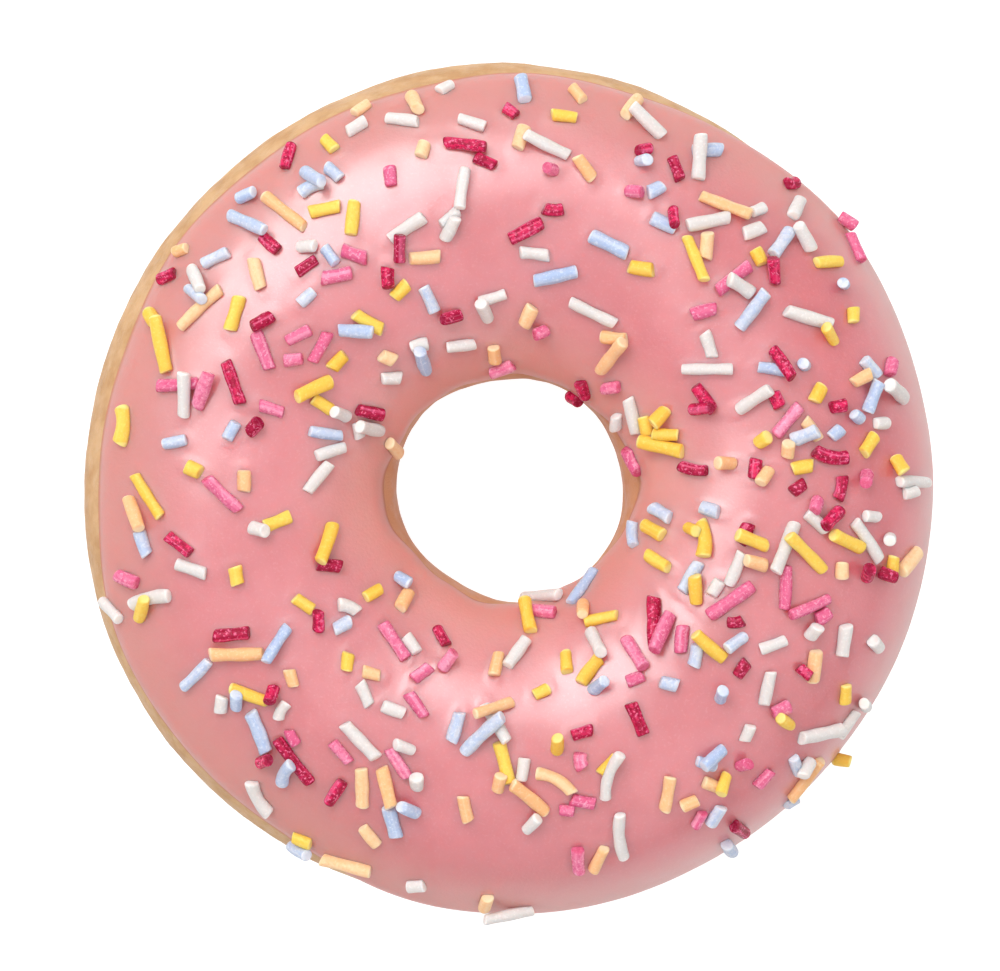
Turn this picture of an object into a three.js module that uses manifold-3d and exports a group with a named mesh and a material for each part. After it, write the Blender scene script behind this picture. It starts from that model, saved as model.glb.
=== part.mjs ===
// A ring doughnut: a fried ring of yeast dough, dipped in pink icing and scattered with sugar strands.
// Millimetres, +Z up. The origin is at the middle of the ring, on the surface that it rests on.
// Seen from above, +Y is twelve o'clock and +X is three o'clock.
//
// A place on the ring has two angles. The turn runs round the ring, anticlockwise from +X.
// The lean runs round the ring's section: 0 is the outer waist, a quarter turn is the crest and
// a half turn is the waist inside the hole.

import * as THREE from 'three';
import { mergeVertices } from 'three/addons/utils/BufferGeometryUtils.js';
import Module from 'manifold-3d';

// ---- Driving dimensions

// A wave round the ring has a number of crests, a size and a phase.
const DOUGH = {
  outerRadius: 44.63, // to the waist, where the ring is widest
  outerWaves: [[1, 1.14, 3.62], [2, 0.28, 4.05], [3, 0.15, 1.68], [7, 0.08, 0.5]],
  holeRadius: 11.57,
  holeWaves: [[1, 0.17, 6.12], [2, 0.21, 1.14], [3, 0.18, 3.64], [5, 0.1, 1]],
  waistHeight: 13,
  crestHeight: 27.3,
  crestWaves: [[2, 0.3, 1.1], [3, 0.2, 0.3], [5, 0.1, 2]],
  baseSag: 1.1, // how far the section would reach below the flat that it rests on
  fullness: 2.2, // of the section: 2 is an ellipse, and more is squarer
  beltDepth: 0.25, // of the pale belt pressed into each waist
  beltLean: 0.22, // half the height of that belt, as a lean
};

const ICING = {
  thickness: 1.25,
  lip: 0.4, // thickness of the thin edge
  taper: 4, // distance over which the edge grows to full thickness
  underGap: 0.3, // clearance between the icing and the dough
  // Where the edge stops, in degrees of lean above the waist, at each hour from twelve o'clock.
  outerEdge: [30.5, 25, -3, -8, -9, -8, 6, 27, 28, 33, 33, 33],
  holeEdge: [19.5, 17, 23, 30, 19, 12.5, 19, 22, 22.5, 28, 20, 18],
  edgeWaves: [[6, 1, 1.57], [13, 0.8, 2]], // in degrees
  // A swell has a number of crests round the ring and over it, a size and a phase.
  swells: [[3, 2, 0.1, 0.4], [5, -3, 0.08, 2.2], [8, 5, 0.05, 4]],
};

const STRANDS = {
  seed: 11819,
  count: 360,
  modelled: 240, // the longest, which are fused to the icing
  sides: 5,
  thickness: 1.34,
  thicknessSpread: 0.1, // as a share of the thickness
  shortest: 1.6,
  longest: 5.9,
  fewLong: 4, // the higher, the fewer long strands there are
  longestUpright: 2.8,
  sunk: 0.35, // depth that a strand sinks into the icing
  slopeThinning: 0.7, // share of the strands that slide off the steepest slopes
  fallWaves: [[1, 0.12, -0.16], [3, 0.13, -0.96]], // unevenness of the fall round the ring
  edgeMargin: 1, // distance kept from the icing's edge
  doughClearance: 0.35,
  uprightShare: 0.07, // share of the strands that stand on end
  uprightSlopes: [0.6, 1.3],
  steepestLean: 0.75, // slope of a strand that lies over another
  lapping: 0.9, // distance between two strands that touch, as a share of their radii
  crushed: 0.7, // the same, where they would press into each other too far
};

const MESH = {
  turns: 48,
  doughRows: 20,
  icingTopRows: 12,
  icingUnderRows: 10,
  facetLift: 0.12, // moves the icing's corners out, so that its flat facets are at the true height
};

// ---- Shape of the ring

const signedPower = (value, power) => Math.sign(value) * Math.abs(value) ** power;
const clamp = (value, low, high) => Math.min(high, Math.max(low, value));
const { lerp, smoothstep, degToRad } = THREE.MathUtils;
const ROUND = 2 * Math.PI;

function wave(turn, waves) {
  return waves.reduce((sum, [crests, size, phase]) => sum + size * Math.cos(crests * turn + phase), 0);
}

// A smooth curve through twelve values, one for each hour, read at a turn. Turn 0 is three o'clock.
function roundTheClock(values, turn) {
  const hour = values.length * (1.25 - turn / ROUND);
  const whole = Math.floor(hour);
  const part = hour - whole;
  const [a, b, c, d] = [-1, 0, 1, 2].map((step) => values[(whole + step + values.length) % values.length]);
  const bend = part * (2 * a - 5 * b + 4 * c - d + part * (3 * (b - c) + d - a));
  return b + (part / 2) * (c - a + bend);
}

function sectionAt(turn) {
  const outer = DOUGH.outerRadius + wave(turn, DOUGH.outerWaves);
  const hole = DOUGH.holeRadius + wave(turn, DOUGH.holeWaves);
  return {
    middle: (outer + hole) / 2,
    halfWidth: (outer - hole) / 2,
    rise: DOUGH.crestHeight + wave(turn, DOUGH.crestWaves) - DOUGH.waistHeight,
    drop: DOUGH.waistHeight + DOUGH.baseSag,
  };
}

// A point on the dough, or at a distance out from it.
function doughPoint(turn, lean, out = 0) {
  const { middle, halfWidth, rise, drop } = sectionAt(turn);
  const [across, up] = [Math.cos(lean), Math.sin(lean)];
  const halfHeight = up < 0 ? drop : rise;
  const power = 2 / DOUGH.fullness;
  const facing = new THREE.Vector2(
    signedPower(across, 2 - power) / halfWidth,
    signedPower(up, 2 - power) / halfHeight,
  ).normalize();
  const move = out - DOUGH.beltDepth * Math.exp(-((Math.asin(up) / DOUGH.beltLean) ** 2));
  const radius = middle + halfWidth * signedPower(across, power) + move * facing.x;
  const height = DOUGH.waistHeight + halfHeight * signedPower(up, power) + move * facing.y;
  return new THREE.Vector3(radius * Math.cos(turn), radius * Math.sin(turn), Math.max(0, height));
}

// A point's turn and lean, and its height over the dough.
function placeOf(point) {
  const turn = Math.atan2(point.y, point.x);
  const { middle, halfWidth, rise, drop } = sectionAt(turn);
  const across = Math.hypot(point.x, point.y) - middle;
  const up = point.z - DOUGH.waistHeight;
  const acrossPower = signedPower(across / halfWidth, DOUGH.fullness / 2);
  const upPower = signedPower(up / (up < 0 ? drop : rise), DOUGH.fullness / 2);
  const reach = Math.hypot(acrossPower, upPower) ** (2 / DOUGH.fullness);
  return { turn, lean: Math.atan2(upPower, acrossPower), height: Math.hypot(across, up) * (1 - 1 / reach) };
}

function icingEdges(turn) {
  const ripple = wave(turn, ICING.edgeWaves);
  return {
    outer: degToRad(roundTheClock(ICING.outerEdge, turn) + ripple),
    hole: Math.PI - degToRad(roundTheClock(ICING.holeEdge, turn) - ripple),
  };
}

// Distance along the surface from the nearer edge of the icing.
function distanceFromEdge(turn, lean) {
  const edges = icingEdges(turn);
  return Math.min(lean - edges.outer, edges.hole - lean) * sectionAt(turn).halfWidth;
}

function icingThickness(turn, lean) {
  const inwards = Math.max(0, distanceFromEdge(turn, lean));
  const lip = ICING.lip * Math.sqrt(1 - (1 - Math.min(1, inwards / ICING.lip)) ** 2);
  const swell = ICING.swells.reduce(
    (sum, [around, over, size, phase]) => sum + size * Math.cos(around * turn + over * lean + phase),
    ICING.thickness - ICING.lip,
  );
  return lip + smoothstep(inwards, 0, ICING.taper) * swell;
}

function icingPoint(turn, lean, out = 0) {
  return doughPoint(turn, lean, ICING.underGap + icingThickness(turn, lean) + out);
}

// The height of a point over the icing.
function heightOverIcing(point) {
  const { turn, lean, height } = placeOf(point);
  return height - ICING.underGap - icingThickness(turn, lean);
}

// ---- Dough and icing

// A closed ring, from the points of a loop round its section at each turn.
function ringGeometry(rows, pointAt) {
  const positions = [];
  const index = [];
  for (let turn = 0; turn < MESH.turns; turn += 1) {
    for (let row = 0; row < rows; row += 1) {
      positions.push(...pointAt((ROUND * turn) / MESH.turns, row).toArray());
      const nextTurn = (turn + 1) % MESH.turns;
      const nextRow = (row + 1) % rows;
      const [here, over] = [turn * rows + row, turn * rows + nextRow];
      const [beside, across] = [nextTurn * rows + row, nextTurn * rows + nextRow];
      index.push(here, beside, across, here, across, over);
    }
  }
  const geometry = new THREE.BufferGeometry();
  geometry.setAttribute('position', new THREE.Float32BufferAttribute(positions, 3));
  geometry.setIndex(index);
  return geometry;
}

function doughGeometry() {
  return ringGeometry(MESH.doughRows, (turn, row) => doughPoint(turn, (ROUND * row) / MESH.doughRows));
}

// The loop goes over the top from the outer edge to the hole, and back underneath.
function icingGeometry() {
  const { icingTopRows, icingUnderRows } = MESH;
  return ringGeometry(icingTopRows + icingUnderRows, (turn, row) => {
    const edges = icingEdges(turn);
    if (row < icingTopRows) {
      const share = (1 - Math.cos((Math.PI * (row + 0.5)) / icingTopRows)) / 2;
      return icingPoint(turn, lerp(edges.outer, edges.hole, share), MESH.facetLift);
    }
    const share = (row - icingTopRows) / (icingUnderRows - 1);
    return doughPoint(turn, lerp(edges.hole, edges.outer, share), ICING.underGap + MESH.facetLift);
  });
}

// ---- Sugar strands

// Random numbers from 0 to 1, the same ones in the same order each time.
const [MULTIPLIER, INCREMENT, MODULUS] = [1664525, 1013904223, 2 ** 32];
let state = STRANDS.seed;
function draw() {
  state = (state * MULTIPLIER + INCREMENT) % MODULUS;
  return state / MODULUS;
}

const spread = ([low, high]) => lerp(low, high, draw());

// The icing's outward direction at a place, and two directions along it.
function icingDirections(turn, lean) {
  const step = 0.01;
  const round = icingPoint(turn + step, lean).sub(icingPoint(turn - step, lean)).normalize();
  const over = icingPoint(turn, lean + step).sub(icingPoint(turn, lean - step)).normalize();
  return { round, over, up: new THREE.Vector3().crossVectors(round, over).normalize() };
}

// One strand that falls on the ring, or null where it slides off. Each fall takes eight draws.
function fallenStrand() {
  const turn = spread([0, ROUND]);
  const across = spread([-1, 1]);
  const luck = draw();
  const heading = spread([0, Math.PI]);
  const upright = draw() < STRANDS.uprightShare;
  const slope = spread(STRANDS.uprightSlopes) * upright;
  const radius = (STRANDS.thickness / 2) * (1 + spread([-STRANDS.thicknessSpread, STRANDS.thicknessSpread]));
  const longest = upright ? STRANDS.longestUpright : STRANDS.longest;
  const share = draw();
  const half = lerp(STRANDS.shortest, longest, (share + share ** STRANDS.fewLong) / 2) / 2;
  const lean = Math.acos(across);
  const { middle, halfWidth } = sectionAt(turn);
  const roomThere = (middle + halfWidth * across) / (middle + halfWidth);
  const staying = 1 - STRANDS.slopeThinning * across ** 2;
  const chance = roomThere * staying * (1 + wave(turn, STRANDS.fallWaves));
  if (luck > chance || distanceFromEdge(turn, lean) < STRANDS.edgeMargin) return null;

  const { round, over, up } = icingDirections(turn, lean);
  const level = round.multiplyScalar(Math.cos(heading)).addScaledVector(over, Math.sin(heading));
  const along = level.multiplyScalar(Math.cos(slope)).addScaledVector(up, Math.sin(slope));
  const height = radius * Math.cos(slope) + half * Math.sin(slope) - STRANDS.sunk;
  return { centre: icingPoint(turn, lean).addScaledVector(up, height), along, up, half, radius, upright };
}

const pointAlong = (strand, distance) => strand.centre.clone().addScaledVector(strand.along, distance);

// Where strand a comes nearest to strand b: the place along a, the gap as a share of the distance
// at which they touch, and how far a has to rise there to lie on b.
function meeting(a, b) {
  const between = a.centre.clone().sub(b.centre);
  const cosine = a.along.dot(b.along);
  const [byA, byB] = [a.along.dot(between), b.along.dot(between)];
  const crossing = (cosine * byB - byA) / Math.max(1e-6, 1 - cosine ** 2);
  const onB = clamp(cosine * clamp(crossing, -a.half, a.half) + byB, -b.half, b.half);
  const onA = clamp(cosine * onB - byA, -a.half, a.half);
  const apart = pointAlong(a, onA).sub(pointAlong(b, onB));
  const touching = a.radius + b.radius;
  const above = apart.dot(a.up);
  const aside = apart.lengthSq() - above ** 2;
  const rise = Math.sqrt(Math.max(0, (STRANDS.lapping * touching) ** 2 - aside)) - above;
  return { onA, share: apart.length() / touching, rise };
}

// Tips a strand up to lie over the one that it meets, with its far end down on the icing.
function lieOver(strand, { onA, rise }) {
  const side = onA < 0 ? -1 : 1;
  const foot = pointAlong(strand, -side * strand.half);
  const drop = heightOverIcing(foot) - strand.radius + STRANDS.sunk;
  const slope = Math.atan2(rise + drop, strand.half + Math.abs(onA));
  const along = strand.along.clone().multiplyScalar(side * Math.cos(slope));
  along.addScaledVector(strand.up, Math.sin(slope));
  const centre = foot.addScaledVector(strand.up, -drop).addScaledVector(along, strand.half);
  return { ...strand, along, centre, slope };
}

function clearOfDough(strand) {
  return [-1, -0.5, 0, 0.5, 1].every((share) =>
    placeOf(pointAlong(strand, share * strand.half)).height > strand.radius + STRANDS.doughClearance);
}

// A fallen strand as it comes to rest among the strands already laid, or null where it can't.
function restingStrand(strand, laid) {
  const near = laid.filter((other) =>
    strand.centre.distanceTo(other.centre) < strand.half + other.half + 2 * STRANDS.thickness);
  const met = near.map((other) => meeting(strand, other)).filter(({ share }) => share < STRANDS.lapping);
  if (met.length && strand.upright) return null;
  const resting = met.length ? lieOver(strand, met.reduce((a, b) => (b.rise > a.rise ? b : a))) : strand;
  if (resting.slope > STRANDS.steepestLean || !clearOfDough(resting)) return null;
  return near.some((other) => meeting(resting, other).share < STRANDS.crushed) ? null : resting;
}

function layStrands() {
  const laid = [];
  while (laid.length < STRANDS.count) {
    const fallen = fallenStrand();
    const resting = fallen && restingStrand(fallen, laid);
    if (resting) laid.push(resting);
  }
  return laid;
}

// A rod with a few sides and the section area of a round one, with a corner up.
function strandGeometry({ centre, along, up, half, radius }) {
  const step = ROUND / STRANDS.sides;
  const cornerRadius = radius * Math.sqrt(ROUND / (STRANDS.sides * Math.sin(step)));
  const corners = Array.from({ length: STRANDS.sides }, (_, i) =>
    new THREE.Vector2(cornerRadius * Math.sin(i * step), cornerRadius * Math.cos(i * step)));
  const rod = new THREE.ExtrudeGeometry(new THREE.Shape(corners), { depth: 2 * half, bevelEnabled: false });
  const side = new THREE.Vector3().crossVectors(up, along).normalize();
  const top = new THREE.Vector3().crossVectors(along, side);
  const place = new THREE.Matrix4().makeBasis(side, top, along).setPosition(centre);
  return rod.translate(0, 0, -half).applyMatrix4(place);
}

// ---- Joining

const wasm = await Module();
wasm.setup();

function solidFrom(geometry) {
  geometry.deleteAttribute('normal');
  geometry.deleteAttribute('uv');
  const merged = mergeVertices(geometry, 1e-5);
  return new wasm.Manifold(new wasm.Mesh({
    numProp: 3,
    vertProperties: new Float32Array(merged.getAttribute('position').array),
    triVerts: new Uint32Array(merged.getIndex().array),
  }));
}

function geometryFrom(solid) {
  const { vertProperties, triVerts } = solid.getMesh();
  const geometry = new THREE.BufferGeometry();
  geometry.setAttribute('position', new THREE.BufferAttribute(vertProperties, 3));
  geometry.setIndex(new THREE.BufferAttribute(triVerts, 1));
  return geometry;
}

// The icing with its longest strands fused on. Any loose scrap or sealed hollow is left out.
function icingWithStrands() {
  const strands = layStrands().sort((a, b) => b.half - a.half).slice(0, STRANDS.modelled);
  const fused = wasm.Manifold.union([icingGeometry(), ...strands.map(strandGeometry)].map(solidFrom));
  const bodies = fused.decompose().sort((a, b) => b.volume() - a.volume());
  return geometryFrom(bodies[0]);
}

// ---- The doughnut

function mesh(name, geometry, color, roughness) {
  const faceted = geometry.toNonIndexed();
  faceted.computeVertexNormals();
  const piece = new THREE.Mesh(faceted, new THREE.MeshStandardMaterial({ color, roughness, metalness: 0 }));
  piece.name = name;
  return piece;
}

const doughnut = new THREE.Group();
doughnut.add(mesh('dough_ring', doughGeometry(), 0xd09a62, 0.6));
doughnut.add(mesh('pink_icing', icingWithStrands(), 0xeba3a6, 0.4));

export default doughnut;
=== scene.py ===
import math

import bpy
import numpy as np
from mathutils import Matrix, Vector, noise


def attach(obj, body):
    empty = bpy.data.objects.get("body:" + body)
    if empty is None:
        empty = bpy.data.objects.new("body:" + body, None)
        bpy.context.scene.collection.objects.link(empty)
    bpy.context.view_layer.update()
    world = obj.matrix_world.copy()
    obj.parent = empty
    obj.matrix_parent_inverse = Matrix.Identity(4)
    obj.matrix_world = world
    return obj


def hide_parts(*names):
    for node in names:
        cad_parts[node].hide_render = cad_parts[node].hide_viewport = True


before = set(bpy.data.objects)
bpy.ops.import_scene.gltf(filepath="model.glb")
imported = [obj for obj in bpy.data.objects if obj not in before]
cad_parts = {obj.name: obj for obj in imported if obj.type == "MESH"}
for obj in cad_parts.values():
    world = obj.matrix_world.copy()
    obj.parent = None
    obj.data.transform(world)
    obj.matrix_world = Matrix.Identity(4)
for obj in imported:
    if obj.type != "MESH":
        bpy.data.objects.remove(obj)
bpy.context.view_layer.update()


# ---- Dough ring
# A ring of yeast dough, proved and fried on both sides. Where it floated in the oil it kept a pale
# belt round the outer waist and inside the hole, with golden brown crust above and below it, and it
# settles on a soft flat underside.

MM = 0.001  # sizes below are in millimetres
ROUND = 2 * math.pi

# A wave round the ring has a number of crests, a size and a phase.
OUTER_RADIUS = 44.63
OUTER_WAVES = ((1, 1.14, 3.62), (2, 0.28, 4.05), (3, 0.15, 1.68), (7, 0.08, 0.5))
HOLE_RADIUS = 11.57
HOLE_WAVES = ((1, 0.17, 6.12), (2, 0.21, 1.14), (3, 0.18, 3.64), (5, 0.1, 1))
WAIST_HEIGHT = 13
CREST_HEIGHT = 27.3
CREST_WAVES = ((2, 0.3, 1.1), (3, 0.2, 0.3), (5, 0.1, 2))
BASE_SAG = 1.1  # how far the section would reach below the flat that it rests on
FULLNESS = 2.2  # of the section: 2 is an ellipse, and more is squarer
BELT_DEPTH = 0.25
BELT_LEAN = 0.22  # half the height of the belt's groove, as a lean

# Where the icing ends, by the hour, outside and in the hole, in degrees above the waist.
OUTER_EDGE = (30.5, 25, -3, -8, -9, -8, 6, 27, 28, 33, 33, 33)
HOLE_EDGE = (19.5, 17, 23, 30, 19, 12.5, 19, 22, 22.5, 28, 20, 18)
EDGE_WAVES = ((6, 1, 1.57), (13, 0.8, 2))  # in degrees

DOUGH_TURNS = 360
DOUGH_ROWS = 150
CRUST_RELIEF = ((0.16, 6.0, 3.1), (0.07, 1.7, 8.4))  # height, size across and seed of its lumps
CRUST_SHRINK = 0.12  # of the bare crust, so that its lumps stay inside the smooth ring
BARE_BELOW = (25, 40)  # degrees above the waist: crust below these is bare, and above them iced
BELT_BOTTOM = (-24, -12)  # degrees above the waist between which brown crust turns to pale belt
FLAT_RISE = 2  # height over which the underside's flat turns to puckered crust

BELT_COLOUR = (0.68, 0.41, 0.20)
BELT_SHADE = (0.54, 0.28, 0.11)
HOLE_CRUMB = (0.70, 0.32, 0.17)
CRUST_COLOUR = (0.44, 0.19, 0.055)
CRUST_DARK = (0.22, 0.075, 0.018)


def node(tree, kind, settings=None, **inputs):
    """A shader node with its settings, and with each input set to a value or joined to a socket."""
    made = tree.nodes.new("ShaderNode" + kind)
    for name, value in (settings or {}).items():
        setattr(made, name, value)
    for name, value in inputs.items():
        socket = made.inputs[int(name[1:]) if name[1:].isdigit() else name.replace("_", " ")]
        if isinstance(value, bpy.types.NodeSocket):
            tree.links.new(value, socket)
        elif socket.type == "RGBA" and len(value) == 3:
            socket.default_value = (*value, 1)
        else:
            socket.default_value = value
    return made


def mixed(tree, share, first, second):
    """Two colours mixed by a share from 0 to 1."""
    return node(tree, "Mix", {"data_type": "RGBA"}, _0=share, _6=first, _7=second).outputs[2]


def ranged(tree, value, low, high, to_low=0.0, to_high=1.0):
    """A value's range from low to high stretched smoothly to a new range."""
    settings = {"interpolation_type": "SMOOTHSTEP"}
    return node(tree, "MapRange", settings, _0=value, _1=low, _2=high, _3=to_low, _4=to_high).outputs[0]


def combined(tree, first, second, operation="ADD"):
    """Two numbers added together, or combined in another way."""
    return node(tree, "Math", {"operation": operation}, _0=first, _1=second).outputs[0]


def grain_group():
    """Uneven noise in one coordinate, sharpened to a mask: used for crust, icing and strands."""
    tree = bpy.data.node_groups.new("Grain", "ShaderNodeTree")
    for name, kind in (("Vector", "NodeSocketVector"), ("Size", "NodeSocketFloat"),
                       ("Low", "NodeSocketFloat"), ("High", "NodeSocketFloat")):
        tree.interface.new_socket(name, in_out="INPUT", socket_type=kind)
    tree.interface.new_socket("Mask", in_out="OUTPUT", socket_type="NodeSocketFloat")
    given = tree.nodes.new("NodeGroupInput").outputs
    per_metre = node(tree, "Math", {"operation": "DIVIDE"}, _0=1.0, _1=given["Size"]).outputs[0]
    cloud = node(tree, "TexNoise", Vector=given["Vector"], Scale=per_metre, Detail=3.0, Roughness=0.6)
    mask = ranged(tree, cloud.outputs["Fac"], given["Low"], given["High"])
    tree.links.new(mask, tree.nodes.new("NodeGroupOutput").inputs["Mask"])
    return tree


GRAIN = grain_group()


def grain(tree, size, low=0.35, high=0.65):
    """The grain mask over a piece's own coordinates, for clumps of a size in millimetres."""
    place = node(tree, "TexCoord").outputs["Object"]
    settings = {"node_tree": GRAIN}
    return node(tree, "Group", settings, Vector=place, Size=size * MM, Low=low, High=high).outputs["Mask"]


def finish(name):
    """A material's node tree and its Principled shader."""
    material = bpy.data.materials.new(name)
    material.use_nodes = True
    return material, material.node_tree, material.node_tree.nodes["Principled BSDF"]


def painted(tree, name):
    """A value that the mesh carries at each point."""
    return node(tree, "Attribute", {"attribute_name": name}).outputs["Fac"]


def signed_power(value, power):
    """A power of a value's size, with the value's own sign."""
    return np.sign(value) * np.abs(value) ** power


def wave(turn, waves):
    """The height of all the waves together at a turn round the ring."""
    return sum(size * np.cos(crests * turn + phase) for crests, size, phase in waves)


def section(turn):
    """The middle, half width, rise above the waist and drop below it of the ring's section."""
    outer = OUTER_RADIUS + wave(turn, OUTER_WAVES)
    hole = HOLE_RADIUS + wave(turn, HOLE_WAVES)
    rise = CREST_HEIGHT + wave(turn, CREST_WAVES) - WAIST_HEIGHT
    return (outer + hole) / 2, (outer - hole) / 2, rise, WAIST_HEIGHT + BASE_SAG


def dough_points(turn, lean, out=0.0):
    """Points on the dough at a turn round the ring and a lean round its section, or out from it."""
    middle, half_width, rise, drop = section(turn)
    across, up = np.cos(lean), np.sin(lean)
    half_height = np.where(up < 0, drop, rise)
    power = 2 / FULLNESS
    facing_out = signed_power(across, 2 - power) / half_width
    facing_up = signed_power(up, 2 - power) / half_height
    length = np.hypot(facing_out, facing_up)
    move = out - BELT_DEPTH * np.exp(-((np.arcsin(up) / BELT_LEAN) ** 2))
    radius = middle + half_width * signed_power(across, power) + move * facing_out / length
    height = WAIST_HEIGHT + half_height * signed_power(up, power) + move * facing_up / length
    return np.stack([radius * np.cos(turn), radius * np.sin(turn), np.maximum(0, height)], axis=-1)


def ring_piece(name, points, **painted_values):
    """A closed ring from a grid of points, by turn and then by the loop round the section."""
    turns, rows = points.shape[:2]
    here = np.arange(turns * rows).reshape(turns, rows)
    beside = np.roll(here, -1, axis=0)
    faces = np.stack([here, beside, np.roll(beside, -1, axis=1), np.roll(here, -1, axis=1)], axis=-1)
    return piece(name, points.reshape(-1, 3), faces.reshape(-1, 4).tolist(), **painted_values)


def piece(name, points, faces, **painted_values):
    """A smooth mesh object, from points in millimetres."""
    mesh = bpy.data.meshes.new(name)
    mesh.from_pydata((np.asarray(points) * MM).tolist(), [], faces)
    for value_name, values in painted_values.items():
        layer = mesh.attributes.new(value_name, "FLOAT", "POINT")
        layer.data.foreach_set("value", np.asarray(values, dtype=np.float32).ravel())
    mesh.shade_smooth()
    made = bpy.data.objects.new(name, mesh)
    bpy.context.scene.collection.objects.link(made)
    return made


def lumps(points, size, seed):
    """Smooth noise from -1 to 1 at each point, in lumps of a size in millimetres."""
    flat = points.reshape(-1, 3) / size + seed
    return np.array([noise.noise(Vector(point)) for point in flat]).reshape(points.shape[:-1])


def relief(points, layers):
    return sum(height * lumps(points, size, seed) for height, size, seed in layers)


def grid(turns, leans):
    """A turn and a lean for each point of a ring, where leans may differ from turn to turn."""
    turn = np.linspace(0, ROUND, turns, endpoint=False)[:, None]
    return np.broadcast_arrays(turn, leans)


def round_the_clock(values, turn):
    """A smooth curve through a value for each hour, read at a turn, where turn 0 is three o'clock."""
    values = np.asarray(values, dtype=float)
    hour = len(values) * (1.25 - turn / ROUND)
    whole = np.floor(hour).astype(int)
    part = hour - whole
    a, b, c, d = (values[(whole + step) % len(values)] for step in (-1, 0, 1, 2))
    bend = part * (2 * a - 5 * b + 4 * c - d + part * (3 * (b - c) + d - a))
    return b + part / 2 * (c - a + bend)


def icing_edges(turn):
    """The leans at which the icing ends, outside and in the hole."""
    ripple = wave(turn, EDGE_WAVES)
    outer = np.radians(round_the_clock(OUTER_EDGE, turn) + ripple)
    hole = math.pi - np.radians(round_the_clock(HOLE_EDGE, turn) - ripple)
    return outer, hole


def from_edge(turn, lean):
    """Distance along the surface from the nearer edge of the icing."""
    outer, hole = icing_edges(turn)
    return np.minimum(lean - outer, hole - lean) * section(turn)[1]


def in_hole(lean):
    """1 on the side that faces the hole, 0 on the outside, and between them over the top."""
    return np.clip(0.5 - 2 * np.cos(lean), 0, 1)


def part_way(value, low, high):
    """How far a value has come from low to high, from 0 to 1."""
    return np.clip((value - low) / (high - low), 0, 1)


def crust_finish():
    material, tree, shader = finish("fried_crust")
    belt = painted(tree, "belt")
    ragged = combined(tree, belt, ranged(tree, grain(tree, 5), 0, 1, -0.22, 0.22))
    pale = mixed(tree, grain(tree, 3, 0.3, 0.75), BELT_COLOUR, BELT_SHADE)
    brown = mixed(tree, grain(tree, 7, 0.4, 0.75), CRUST_COLOUR, CRUST_DARK)
    colour = mixed(tree, ranged(tree, ragged, 0.25, 0.75), brown, pale)
    freckled = mixed(tree, ranged(tree, grain(tree, 0.7, 0.62, 0.8), 0, 1, 0, 0.3), colour, CRUST_COLOUR)
    inside = painted(tree, "inside")
    ruddy = mixed(tree, ranged(tree, inside, 0, 1, 0, 0.75), freckled, HOLE_CRUMB)
    # Painted shade: the crust darkens in a band up to 0.9 mm wide along the icing's edge, where the icing
    # meets it, and twice as strongly in the hole.
    painted_edge_shade = ranged(tree, painted(tree, "bare"), 0, 0.9, 0.6, 0)
    darker = ranged(tree, inside, 0, 1, 0.5, 1)
    edged = mixed(tree, combined(tree, painted_edge_shade, darker, "MULTIPLY"), ruddy, CRUST_COLOUR)
    tree.links.new(edged, shader.inputs["Base Color"])
    oily = ranged(tree, grain(tree, 2.5), 0, 1, 0.42, 0.62)
    tree.links.new(oily, shader.inputs["Roughness"])
    wrinkles = combined(tree, grain(tree, 1.6), grain(tree, 0.5), "MULTIPLY")
    bump = node(tree, "Bump", Strength=0.5, Distance=0.15 * MM, Height=wrinkles)
    tree.links.new(bump.outputs["Normal"], shader.inputs["Normal"])
    shader.inputs["Subsurface Weight"].default_value = 0.15
    shader.inputs["Subsurface Radius"].default_value = (1.0, 0.5, 0.25)
    shader.inputs["Subsurface Scale"].default_value = 1.0 * MM
    return material


def dough_ring():
    turn, lean = grid(DOUGH_TURNS, np.linspace(0, ROUND, DOUGH_ROWS, endpoint=False))
    smooth = dough_points(turn, lean)
    height = np.degrees(np.arcsin(np.sin(lean)))  # above the waist, outside and in the hole alike
    loose = part_way(height, *reversed(BARE_BELOW)) * part_way(smooth[..., 2], 0, FLAT_RISE)
    points = dough_points(turn, lean, relief(smooth, CRUST_RELIEF) * loose - CRUST_SHRINK * loose)
    bare = np.maximum(0, -from_edge(turn, np.where(lean > 1.5 * math.pi, lean - ROUND, lean)))
    return ring_piece("fried_dough_ring", points, belt=part_way(height, *BELT_BOTTOM),
                      inside=in_hole(lean), bare=bare)


dough = dough_ring()
dough.data.materials.append(crust_finish())
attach(dough, "root")
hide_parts("dough_ring")


# ---- Pink icing
# Fondant icing that the top of the ring was dipped in, and set to a satin skin. It is about a
# millimetre and a half thick, thins at its edge to a rounded lip that lets the dough show through,
# and runs lower on one side than the other.

ICING_THICKNESS = 1.55
ICING_LIP = 0.7  # thickness of the thin edge
LIP_WIDTH = 0.4  # distance over which the edge rounds over
ICING_TAPER = 4  # distance over which the edge grows to full thickness
FEATHERING = 0.5  # share of the thickness that is missing at the very edge
FEATHER_WIDTH = 1.2
UNDER_GAP = 0.03  # between the dough and the icing's underside

# A swell has a number of crests round the ring and over it, a size and a phase.
ICING_SWELLS = ((3, 2, 0.1, 0.4), (5, -3, 0.08, 2.2), (8, 5, 0.05, 4))
ICING_RELIEF = ((0.08, 9.0, 1.7), (0.015, 2.5, 5.2))  # height, size across and seed of its swells
ICING_TURNS = 520
TOP_ROWS = 150
UNDER_ROWS = 28
ROW_CROWDING = 0.115  # how much closer together the rows are at both edges

ICING_COLOUR = (0.68, 0.182, 0.208)
ICING_DEEP = (0.64, 0.152, 0.175)
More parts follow.
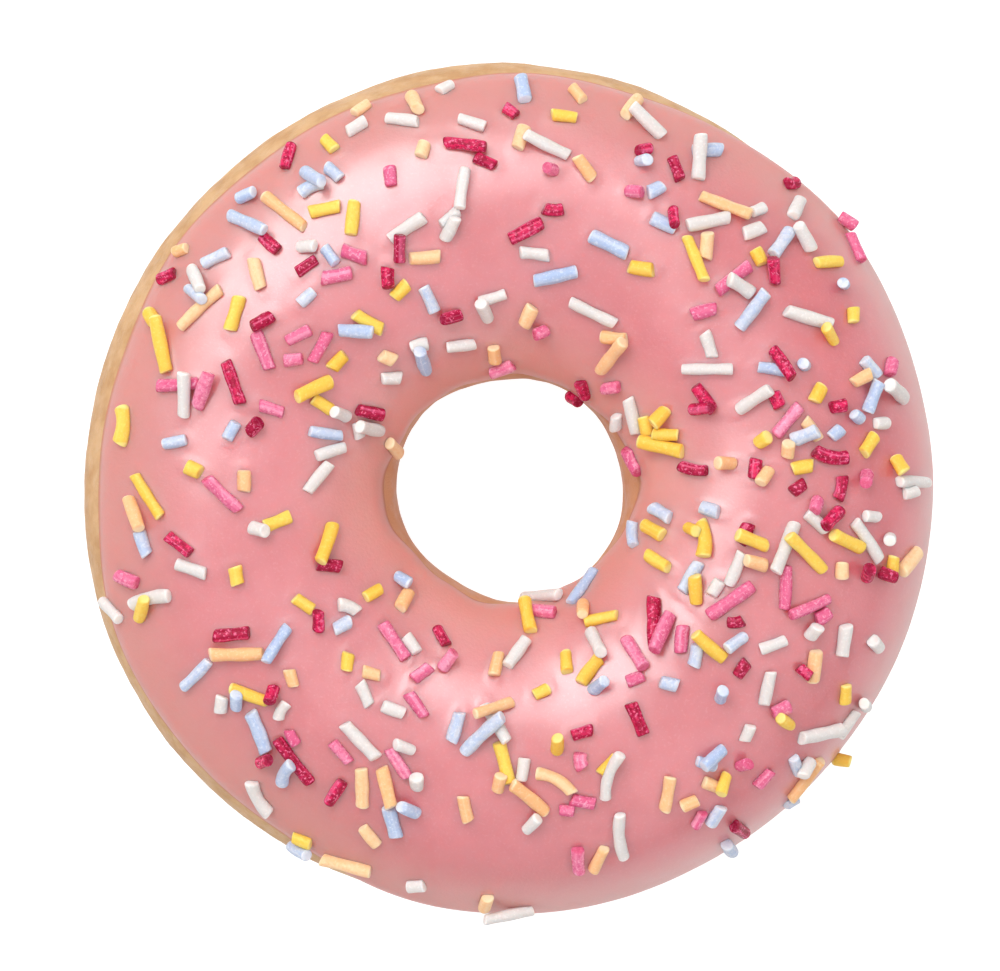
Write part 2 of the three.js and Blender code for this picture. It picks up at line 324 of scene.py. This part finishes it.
# The two colours below for the icing's sides are paler than its own colour. This is partly the dough
# showing through where the icing thins on the slopes, and partly painted light that lifts the slopes where
# less light falls, most of all on the side facing the hole.
ICING_SIDES_THIN_AND_LIT = (0.64, 0.285, 0.255)
ICING_LIT_IN_HOLE = (0.73, 0.33, 0.29)
ICING_OVER_DOUGH = (0.58, 0.20, 0.105)
SUGAR_COLOUR = (0.95, 0.62, 0.6)


def icing_thickness(turn, lean):
    inwards = np.maximum(0, from_edge(turn, lean))
    lip = ICING_LIP * np.sqrt(1 - (1 - np.minimum(1, inwards / LIP_WIDTH)) ** 2)
    swell = sum(size * np.cos(around * turn + over * lean + phase)
                for around, over, size, phase in ICING_SWELLS)
    grown = np.minimum(1, inwards / ICING_TAPER)
    return lip + grown ** 2 * (3 - 2 * grown) * (ICING_THICKNESS - ICING_LIP + swell)


def icing_points(turn, lean, out=0.0):
    return dough_points(turn, lean, icing_thickness(turn, lean) + out)


def icing_finish():
    material, tree, shader = finish("pink_icing")
    clouds = ranged(tree, grain(tree, 9), 0, 1)
    colour = mixed(tree, clouds, ICING_COLOUR, ICING_DEEP)
    sugar = ranged(tree, grain(tree, 0.3, 0.5, 0.75), 0, 1, 0, 0.09)
    colour = mixed(tree, sugar, colour, SUGAR_COLOUR)
    # Within 16 mm of the edge the colour turns paler: partly thinner icing over the dough, partly painted
    # light on the slopes and in the hole.
    sides = ranged(tree, painted(tree, "inwards"), 3, 16, 0.9, 0)
    side_colour = mixed(tree, painted(tree, "inside"), ICING_SIDES_THIN_AND_LIT, ICING_LIT_IN_HOLE)
    colour = mixed(tree, sides, colour, side_colour)
    thin = ranged(tree, painted(tree, "inwards"), 0.1, 2.0, 0.9, 0)
    colour = mixed(tree, thin, colour, ICING_OVER_DOUGH)
    tree.links.new(colour, shader.inputs["Base Color"])
    satin = ranged(tree, grain(tree, 4), 0, 1, 0.34, 0.40)
    dull = ranged(tree, painted(tree, "inwards"), 0.3, 2.5, 0.25, 0)
    tree.links.new(combined(tree, satin, dull), shader.inputs["Roughness"])
    bump = node(tree, "Bump", Strength=0.3, Distance=0.05 * MM, Height=grain(tree, 0.35, 0.25, 0.75))
    tree.links.new(bump.outputs["Normal"], shader.inputs["Normal"])
    skin = ranged(tree, painted(tree, "inwards"), 1, 10)
    tree.links.new(skin, shader.inputs["Coat Weight"])
    shader.inputs["Coat Roughness"].default_value = 0.33
    shader.inputs["Coat IOR"].default_value = 2.1
    shader.inputs["IOR"].default_value = 1.5
    shader.inputs["Specular IOR Level"].default_value = 0.2
    shader.inputs["Subsurface Weight"].default_value = 1.0
    shader.inputs["Subsurface Radius"].default_value = (1.0, 0.25, 0.2)
    shader.inputs["Subsurface Scale"].default_value = 2.5 * MM
    return material


def icing_coat():
    """The coat goes over the top from its outer edge to the hole, and back along the dough."""
    turn, share = grid(ICING_TURNS, np.linspace(0, 1, TOP_ROWS))
    outer, hole = icing_edges(turn)
    share = share - ROW_CROWDING * np.sin(ROUND * share)
    lean = outer + (hole - outer) * share
    top = icing_points(turn, lean)
    inwards = from_edge(turn, lean)
    feather = FEATHERING * icing_thickness(turn, lean) * np.exp(-(inwards / FEATHER_WIDTH) ** 2)
    wobble = relief(top, ICING_RELIEF) * np.clip(inwards / ICING_TAPER, 0, 1)
    top = icing_points(turn, lean, wobble - feather)
    turn, share = grid(ICING_TURNS, np.linspace(1, 0, UNDER_ROWS + 2)[1:-1])
    outer, hole = icing_edges(turn)
    lean_under = outer + (hole - outer) * share
    under = dough_points(turn, lean_under, UNDER_GAP)
    deep = np.full(under.shape[:2], float(ICING_TAPER))
    inside = in_hole(np.concatenate([lean, lean_under], axis=1))
    return ring_piece("icing_coat", np.concatenate([top, under], axis=1),
                      inwards=np.concatenate([inwards, deep], axis=1), inside=inside)


icing = icing_coat()
icing.data.materials.append(icing_finish())
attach(icing, "root")
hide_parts("pink_icing")


# ---- Sugar strands
# Short rods of coloured sugar paste, pressed through a sieve, dried and broken to length. They were
# shaken over the wet icing, lie where they fell, some across others, and are held where they sank in.

STRAND_SEED = 11819
STRAND_COUNT = 360
STRAND_THICKNESS = 1.34
THICKNESS_SPREAD = 0.1  # as a share of the thickness
STRAND_LENGTHS = (1.6, 5.9)
UPRIGHT_LENGTHS = (1.6, 2.8)
FEW_LONG = 4  # the higher, the fewer long strands there are
STRAND_SUNK = 0.35  # depth that a strand sinks into the icing
SLOPE_THINNING = 0.7  # share of the strands that slide off the steepest slopes
FALL_WAVES = ((1, 0.12, -0.16), (3, 0.13, -0.96))  # unevenness of the fall round the ring
EDGE_MARGIN = 1
DOUGH_CLEARANCE = 0.35
UPRIGHT_SHARE = 0.07
UPRIGHT_SLOPES = (0.6, 1.3)
STEEPEST_LEAN = 0.75  # slope of a strand that lies over another
LAPPING = 0.9  # distance between two strands that touch, as a share of their radii
CRUSHED = 0.7  # the same, where they would press into each other too far


def draws(seed):
    """Random numbers from 0 to 1, the same ones in the same order each time."""
    modulus = 2 ** 32
    while True:
        seed = (seed * 1664525 + 1013904223) % modulus
        yield seed / modulus


falls = draws(STRAND_SEED)


def between(ends, share):
    return ends[0] + (ends[1] - ends[0]) * share


def unit(vector):
    return vector / np.linalg.norm(vector)


def place_of(point):
    """A point's turn and lean, and its height over the dough."""
    turn = math.atan2(point[1], point[0])
    middle, half_width, rise, drop = section(turn)
    across = math.hypot(point[0], point[1]) - middle
    up = point[2] - WAIST_HEIGHT
    across_power = signed_power(across / half_width, FULLNESS / 2)
    up_power = signed_power(up / (drop if up < 0 else rise), FULLNESS / 2)
    reach = math.hypot(across_power, up_power) ** (2 / FULLNESS)
    return turn, math.atan2(up_power, across_power), math.hypot(across, up) * (1 - 1 / reach)


def height_over_icing(point):
    turn, lean, height = place_of(point)
    return height - icing_thickness(turn, lean)


def icing_directions(turn, lean, step=0.01):
    """The icing's outward direction at a place, and two directions along it."""
    around = unit(icing_points(turn + step, lean) - icing_points(turn - step, lean))
    over = unit(icing_points(turn, lean + step) - icing_points(turn, lean - step))
    return around, over, unit(np.cross(around, over))


def fallen_strand():
    """One strand that falls on the ring, or None where it slides off. Each fall takes eight draws."""
    turn = between((0, ROUND), next(falls))
    across = between((-1, 1), next(falls))
    luck = next(falls)
    heading = between((0, math.pi), next(falls))
    upright = next(falls) < UPRIGHT_SHARE
    slope = between(UPRIGHT_SLOPES, next(falls)) * upright
    radius = STRAND_THICKNESS / 2 * (1 + between((-THICKNESS_SPREAD, THICKNESS_SPREAD), next(falls)))
    share = next(falls)
    half = between(UPRIGHT_LENGTHS if upright else STRAND_LENGTHS, (share + share ** FEW_LONG) / 2) / 2
    lean = math.acos(across)
    middle, half_width = section(turn)[:2]
    room_there = (middle + half_width * across) / (middle + half_width)
    chance = room_there * (1 - SLOPE_THINNING * across ** 2) * (1 + wave(turn, FALL_WAVES))
    if luck > chance or from_edge(turn, lean) < EDGE_MARGIN:
        return None
    around, over, up = icing_directions(turn, lean)
    level = around * math.cos(heading) + over * math.sin(heading)
    along = level * math.cos(slope) + up * math.sin(slope)
    height = radius * math.cos(slope) + half * math.sin(slope) - STRAND_SUNK
    centre = icing_points(turn, lean) + up * height
    return {"centre": centre, "along": along, "up": up, "half": half, "radius": radius,
            "upright": upright, "slope": 0.0}


def point_along(strand, distance):
    return strand["centre"] + strand["along"] * distance


def meeting(a, b):
    """Where a comes nearest to b: the place along a, the gap as a share of the distance at which
    they touch, and how far a has to rise there to lie on b."""
    offset = a["centre"] - b["centre"]
    cosine = a["along"] @ b["along"]
    by_a, by_b = a["along"] @ offset, b["along"] @ offset
    crossing = min(a["half"], max(-a["half"], (cosine * by_b - by_a) / max(1e-6, 1 - cosine ** 2)))
    on_b = min(b["half"], max(-b["half"], cosine * crossing + by_b))
    on_a = min(a["half"], max(-a["half"], cosine * on_b - by_a))
    apart = point_along(a, on_a) - point_along(b, on_b)
    touching = a["radius"] + b["radius"]
    above = apart @ a["up"]
    aside = apart @ apart - above ** 2
    rise = math.sqrt(max(0, (LAPPING * touching) ** 2 - aside)) - above
    return on_a, math.sqrt(apart @ apart) / touching, rise


def lie_over(strand, on_a, rise):
    """A strand tipped up to lie over the one that it meets, with its far end down on the icing."""
    side = -1 if on_a < 0 else 1
    foot = point_along(strand, -side * strand["half"])
    drop = height_over_icing(foot) - strand["radius"] + STRAND_SUNK
    slope = math.atan2(rise + drop, strand["half"] + abs(on_a))
    along = strand["along"] * (side * math.cos(slope)) + strand["up"] * math.sin(slope)
    centre = foot - strand["up"] * drop + along * strand["half"]
    return {**strand, "along": along, "centre": centre, "slope": slope}


def clear_of_dough(strand):
    return all(place_of(point_along(strand, share * strand["half"]))[2] > strand["radius"] + DOUGH_CLEARANCE
               for share in (-1, -0.5, 0, 0.5, 1))


def resting_strand(strand, laid):
    """A fallen strand as it comes to rest among the strands already laid, or None where it can't."""
    near = [other for other in laid
            if math.dist(strand["centre"], other["centre"])
            < strand["half"] + other["half"] + 2 * STRAND_THICKNESS]
    met = [found for found in (meeting(strand, other) for other in near) if found[1] < LAPPING]
    resting = strand
    if met:
        if strand["upright"]:
            return None
        on_a, _, rise = max(met, key=lambda found: found[2])
        resting = lie_over(strand, on_a, rise)
    if resting["slope"] > STEEPEST_LEAN or not clear_of_dough(resting):
        return None
    return None if any(meeting(resting, other)[1] < CRUSHED for other in near) else resting


def lay_strands():
    laid = []
    while len(laid) < STRAND_COUNT:
        fallen = fallen_strand()
        resting = fallen and resting_strand(fallen, laid)
        if resting:
            laid.append(resting)
    return laid


strands = lay_strands()

# How many strands of each colour there are in the whole, before the deal.
COLOUR_COUNTS = {"white": 78, "yellow": 60, "peach": 50, "blue": 62, "pink": 52, "crimson": 58}

# The paste of each colour: its colour, its darker colour, the colour of its broken ends, the colour
# and share of the sugar crystals in it, its roughness, and how see-through it is. The pink and the
# crimson ones are glassy, with pale crystals. Each strand's grooves are painted shade in darker bands and
# its ridges painted highlight in paler bands, stronger the more crystals it has.
STRAND_PASTES = {
    "white": {
        "colour": (0.72, 0.685, 0.67), "deep": (0.69, 0.645, 0.62),
        "broken": (0.92, 0.86, 0.82), "crystal": (0.97, 0.95, 0.92),
        "crystals": 0.25, "roughness": 0.5, "clear": 0.8},
    "yellow": {
        "colour": (0.94, 0.63, 0.115), "deep": (0.90, 0.50, 0.055),
        "broken": (0.98, 0.80, 0.32), "crystal": (1.0, 0.80, 0.3),
        "crystals": 0.25, "roughness": 0.42, "clear": 0.6},
    "peach": {
        "colour": (0.96, 0.63, 0.38), "deep": (0.92, 0.44, 0.18),
        "broken": (0.97, 0.74, 0.5), "crystal": (1.0, 0.78, 0.55),
        "crystals": 0.25, "roughness": 0.45, "clear": 0.6},
    "blue": {
        "colour": (0.62, 0.65, 0.74), "deep": (0.37, 0.49, 0.73),
        "broken": (0.76, 0.80, 0.88), "crystal": (0.82, 0.86, 0.95),
        "crystals": 0.4, "roughness": 0.42, "clear": 0.6},
    "pink": {
        "colour": (0.85, 0.26, 0.40), "deep": (0.68, 0.09, 0.23),
        "broken": (0.66, 0.09, 0.2), "crystal": (0.97, 0.52, 0.66),
        "crystals": 0.5, "roughness": 0.28, "clear": 0.5},
    "crimson": {
        "colour": (0.72, 0.018, 0.11), "deep": (0.29, 0.001, 0.028),
        "broken": (0.25, 0.002, 0.03), "crystal": (0.88, 0.19, 0.37),
        "crystals": 0.75, "roughness": 0.12, "clear": 0.4},
}
COLOUR_SEED = 1816848
SHAPE_SEED = 5
ROD_SIDES = 16
# Rings at each broken end of a rod: distance from the end, and share of the radius.
END_RINGS = ((0.34, 1.0), (0.17, 0.985), (0.07, 0.94), (0.02, 0.86), (0.0, 0.72), (0.0, 0.4))
BODY_RINGS = 9  # spread evenly between the two ends
WAISTING = 0.05  # of a rod's thickness along it, as a share
OVALNESS = 0.05
BROKEN_TILT = 0.28  # most that a broken end slants
BROKEN_DEPTH = 0.35  # distance over which the colour of a broken end fades
BENT_SHARE = 0.05  # share of the strands that are clearly bent
CLEAR_BEND = (0.08, 0.16)  # how far the ends bow, as a share of half the length
FAINT_BEND = (-0.025, 0.025)
BEAD_HEIGHT = 0.06  # of the icing that set against the side of a strand
BEAD_WIDTH = 0.3

scatter = np.random.default_rng(SHAPE_SEED)


def rod(strand):
    """A round rod of paste, a little lumpy, waisted and bent, with slanting broken ends."""
    half, radius = strand["half"], strand["radius"]
    ends = [(half - back, share) for back, share in END_RINGS]
    places = np.linspace(-ends[0][0], ends[0][0], BODY_RINGS)
    rings = [(-at, share) for at, share in reversed(ends)][:-1]
    rings += [(at, 1.0) for at in places] + ends[1:]
    at = np.array([ring[0] for ring in rings])[:, None]
    width = np.array([ring[1] for ring in rings])[:, None] * radius
    round_it = np.linspace(0, ROUND, ROD_SIDES, endpoint=False)[None, :]
    waists = 1 + WAISTING * np.sin(at * scatter.uniform(1, 2.5) + scatter.uniform(0, ROUND))
    oval = 1 + OVALNESS * np.cos(2 * (round_it - scatter.uniform(0, ROUND)))
    across = width * waists * oval * np.cos(round_it)
    upward = width * waists * oval * np.sin(round_it)
    for end in (-1, 1):
        slant = scatter.uniform(-BROKEN_TILT, BROKEN_TILT, 2)
        near_end = np.clip(end * at / half, 0, 1) ** 4
        at = at + near_end * (across * slant[0] + upward * slant[1])
    bend = scatter.uniform(*CLEAR_BEND) if scatter.random() < BENT_SHARE else scatter.uniform(*FAINT_BEND)
    sideways = unit(np.cross(strand["up"], strand["along"]))
    upwards = np.cross(strand["along"], sideways)
    bowed = bend * half * (1 - 3 * (at / half) ** 2) / 2
    at = at + 3 * bend * at / half * across  # so that each ring stays square to the bent rod
    across = across + bowed
    return (strand["centre"] + at[..., None] * strand["along"]
            + across[..., None] * sideways + upward[..., None] * upwards)


def rod_faces(rings, first):
    """Faces of a rod whose points start at a number: its side and its two end caps."""
    here = first + np.arange(rings * ROD_SIDES).reshape(rings, ROD_SIDES)
    beside = np.roll(here, -1, axis=1)
    side = np.stack([here[:-1], beside[:-1], beside[1:], here[1:]], axis=-1)
    return side.reshape(-1, 4).tolist() + [here[0][::-1].tolist(), here[-1].tolist()]


def strand_finish(name, colour, deep, broken, crystal, crystals, roughness, clear):
    material, tree, shader = finish(name + "_strand")
    shade = ranged(tree, painted(tree, "shade"), 0, 1, 0, 0.65)
    tone = mixed(tree, shade, colour, deep)
    clots = ranged(tree, grain(tree, 0.5, 0.45, 0.62), 0, 1, 0, crystals)
    tone = mixed(tree, clots, tone, deep)
    # Painted shade and painted highlight: darker bands run down some sides of each smooth rod for its
    # grooves, and paler bands down others for its ridges.
    painted_groove_shade = ranged(tree, painted(tree, "groove"), 0.55, 0.95, 0, crystals)
    tone = mixed(tree, painted_groove_shade, tone, deep)
    painted_ridge_highlight = ranged(tree, painted(tree, "groove"), 0.35, 0.05, 0, 0.7 * crystals)
    tone = mixed(tree, painted_ridge_highlight, tone, crystal)
    specks = ranged(tree, grain(tree, 0.32, 0.53, 0.65), 0, 1, 0, crystals)
    tone = mixed(tree, specks, tone, crystal)
    ends = ranged(tree, painted(tree, "end"), 0.5, 1, 0, 0.7)
    tone = mixed(tree, ends, tone, broken)
    tree.links.new(tone, shader.inputs["Base Color"])
    rough = ranged(tree, grain(tree, 0.4), 0, 1, roughness - 0.06, roughness + 0.1)
    tree.links.new(rough, shader.inputs["Roughness"])
    pitted = grain(tree, 0.3, 0.3, 0.7)
    bump = node(tree, "Bump", Strength=0.3 + 0.5 * crystals, Distance=0.06 * MM, Height=pitted)
    tree.links.new(bump.outputs["Normal"], shader.inputs["Normal"])
    shader.inputs["Specular IOR Level"].default_value = 0.25
    shader.inputs["Subsurface Weight"].default_value = clear
    shader.inputs["Subsurface Radius"].default_value = (1.0, 0.8, 0.7)
    shader.inputs["Subsurface Scale"].default_value = 1.0 * MM
    return material


def strands_of(name, chosen):
    """All the strands of one colour as one piece."""
    points, faces, shades, grooves, ends = [], [], [], [], []
    for strand in chosen:
        rings = rod(strand)
        faces += rod_faces(len(rings), len(points))
        points += rings.reshape(-1, 3).tolist()
        shades += [scatter.random()] * (len(rings) * ROD_SIDES)
        grooves += scatter.random(ROD_SIDES).tolist() * len(rings)  # the same along each side
        along = np.abs((rings - strand["centre"]) @ strand["along"])
        ends += (1 - np.clip((strand["half"] - along) / BROKEN_DEPTH, 0, 1)).ravel().tolist()
    return piece("strands_" + name, points, faces, shade=shades, groove=grooves, end=ends)


counts = np.array(list(COLOUR_COUNTS.values()))
dealt = draws(COLOUR_SEED)
colour_of = [int(np.searchsorted(np.cumsum(counts) / counts.sum(), next(dealt), side="right"))
             for _ in strands]
for number, (name, paste) in enumerate(STRAND_PASTES.items()):
    chosen = [strand for strand, colour in zip(strands, colour_of) if colour == number]
    rods = strands_of(name, chosen)
    rods.data.materials.append(strand_finish(name, **paste))
    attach(rods, "root")
    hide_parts("pink_icing")


def bead_round_strands(coat):
    """Raises the icing a little where it set against the side of each strand."""
    count = len(coat.data.vertices)
    flat = np.empty(count * 3, dtype=np.float32)
    coat.data.vertices.foreach_get("co", flat)
    raised = flat.reshape(-1, 3).astype(float) / MM
    for strand in strands:
        reach = strand["half"] + 2 * STRAND_THICKNESS
        near = np.flatnonzero(np.linalg.norm(raised - strand["centre"], axis=1) < reach)
        offset = raised[near] - strand["centre"]
        along = np.clip(offset @ strand["along"], -strand["half"], strand["half"])
        gap = np.linalg.norm(offset - along[:, None] * strand["along"], axis=1) - strand["radius"]
        on_top = offset @ strand["up"] > -2 * strand["radius"]
        raised[near] += (on_top * BEAD_HEIGHT * np.exp(-(gap / BEAD_WIDTH) ** 2))[:, None] * strand["up"]
    coat.data.vertices.foreach_set("co", (raised * MM).astype(np.float32).ravel())
    coat.data.update()


bead_round_strands(icing)


# ---- Table, light and camera
# A white table in a room that is brighter on its window side, at the upper left, with a soft lamp
# there, a weaker one across from it, and a long lens straight overhead.

SENSOR = 36
LENS = 180
VIEW_WIDTH = 1000  # pixels
RING_WIDTH_PIXELS = 846
ICING_OVERHANG = 0.35  # how far the icing reaches past the dough's outer radius
RING_OFFSET_PIXELS = (9.5, -3.5)  # from the view's middle to the ring's, to the right and up

WINDOW = (122, 30)  # its direction, in degrees from +X and from level
ROOM_BRIGHTNESS = (0.43, 0.72)
TABLE_WHITE = 0.93  # as the lens sees it
TABLE_GLOW = 0.6  # as it lights the ring
TABLE_REACH = 2  # metres from its middle to each side
TABLE_DROP = 0.0002  # metres, so that the ring rests just clear of it

table_mesh = bpy.data.meshes.new("table")
corners = [(x * TABLE_REACH, y * TABLE_REACH, -TABLE_DROP) for x, y in ((-1, -1), (1, -1), (1, 1), (-1, 1))]
table_mesh.from_pydata(corners, [], [(0, 1, 2, 3)])
table = bpy.data.objects.new("table", table_mesh)
bpy.context.scene.collection.objects.link(table)
material, tree, shader = finish("white_table")
shader.inputs["Base Color"].default_value = (0.3, 0.3, 0.3, 1)
shader.inputs["Roughness"].default_value = 0.9
shader.inputs["Specular IOR Level"].default_value = 0.2
shader.inputs["Emission Color"].default_value = (1, 1, 1, 1)
glow = ranged(tree, node(tree, "LightPath").outputs["Is Camera Ray"], 0, 1, TABLE_GLOW, TABLE_WHITE)
tree.links.new(glow, shader.inputs["Emission Strength"])
table_mesh.materials.append(material)


def direction(azimuth, elevation):
    """The direction at an angle in degrees from +X and from level."""
    azimuth, elevation = math.radians(azimuth), math.radians(elevation)
    return Vector((math.cos(azimuth) * math.cos(elevation), math.sin(azimuth) * math.cos(elevation),
                   math.sin(elevation)))


def white_room():
    """A room that is bright on its window side and dimmer on the other."""
    world = bpy.data.worlds.new("white_room")
    world.use_nodes = True
    tree = world.node_tree
    seen = node(tree, "TexCoord").outputs["Generated"]
    settings = {"operation": "DOT_PRODUCT"}
    to_window = node(tree, "VectorMath", settings, _0=seen, _1=direction(*WINDOW)).outputs["Value"]
    bright = ranged(tree, to_window, -1, 1, *ROOM_BRIGHTNESS)
    tree.links.new(bright, tree.nodes["Background"].inputs["Strength"])
    tree.nodes["Background"].inputs["Color"].default_value = (1, 1, 1, 1)
    bpy.context.scene.world = world


white_room()


def soft_light(name, azimuth, elevation, distance, size, power):
    """A square light that faces the ring, with its direction in degrees from +X and from level."""
    lamp = bpy.data.lights.new(name, "AREA")
    lamp.shape = "SQUARE"
    lamp.size = size
    lamp.energy = power
    made = bpy.data.objects.new(name, lamp)
    towards = direction(azimuth, elevation)
    made.location = towards * distance
    made.rotation_euler = (-towards).to_track_quat("-Z", "Y").to_euler()
    bpy.context.scene.collection.objects.link(made)


soft_light("key", azimuth=122, elevation=60, distance=0.9, size=0.6, power=5.5)
soft_light("fill", azimuth=310, elevation=50, distance=1.2, size=1.6, power=4.2)

lens = bpy.data.cameras.new("camera")
lens.lens = LENS
lens.sensor_width = SENSOR
camera = bpy.data.objects.new("camera", lens)
bpy.context.scene.collection.objects.link(camera)
pixel = 2 * (OUTER_RADIUS + ICING_OVERHANG) * MM / RING_WIDTH_PIXELS
distance = VIEW_WIDTH * pixel * LENS / SENSOR
right, up = RING_OFFSET_PIXELS
camera.location = (-right * pixel, -up * pixel, WAIST_HEIGHT * MM + distance)
bpy.context.scene.camera = camera
bpy.context.scene.view_settings.view_transform = "Standard"
